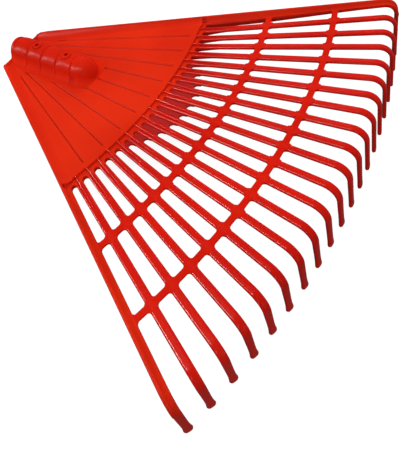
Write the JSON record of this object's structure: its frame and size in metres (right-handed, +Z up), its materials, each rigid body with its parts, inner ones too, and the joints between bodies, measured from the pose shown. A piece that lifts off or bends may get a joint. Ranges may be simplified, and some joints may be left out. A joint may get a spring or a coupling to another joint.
{
  "type": "leaf rake head",
  "caption": "Fan-shaped plastic leaf rake head with a handle socket, flat plate, side rails, arc cross bars and hooked tines.",
  "frame": {"origin": "centre of the handle bore's mouth, on the bore's axis", "axes": "+X along the bore from its mouth towards the tines, +Y towards the fan's left edge, +Z up, away from the tine points"},
  "size_m": [0.4177, 0.5134, 0.078],
  "materials": {
    "socket_red": "satin moulded polypropylene with a soft gloss",
    "frame_red": "satin moulded polypropylene",
    "tine_red": "satin moulded polypropylene"
  },
  "bodies": {
    "root": {"handle_socket": "socket_red", "socket_nose": "socket_red", "screw_boss_rear": "socket_red", "screw_boss_front": "socket_red", "socket_fillets": "socket_red", "fan_plate": "frame_red", "rear_lip": "frame_red", "rail_left": "frame_red", "rail_right": "frame_red", "root_band": "frame_red", "tine_spines": "frame_red", "tine_webs": "frame_red", "gap_floors": "frame_red", "inner_cross_bar": "frame_red", "outer_cross_bar": "frame_red", "tine_01": "tine_red", "tine_02": "tine_red", "tine_03": "tine_red", "tine_04": "tine_red", "tine_05": "tine_red", "tine_06": "tine_red", "tine_07": "tine_red", "tine_08": "tine_red", "tine_09": "tine_red", "tine_10": "tine_red", "tine_11": "tine_red", "tine_12": "tine_red", "tine_13": "tine_red", "tine_14": "tine_red", "tine_15": "tine_red", "tine_16": "tine_red", "tine_17": "tine_red", "tine_18": "tine_red", "tine_19": "tine_red", "tine_20": "tine_red", "tine_21": "tine_red"}
  },
  "joints": []
}
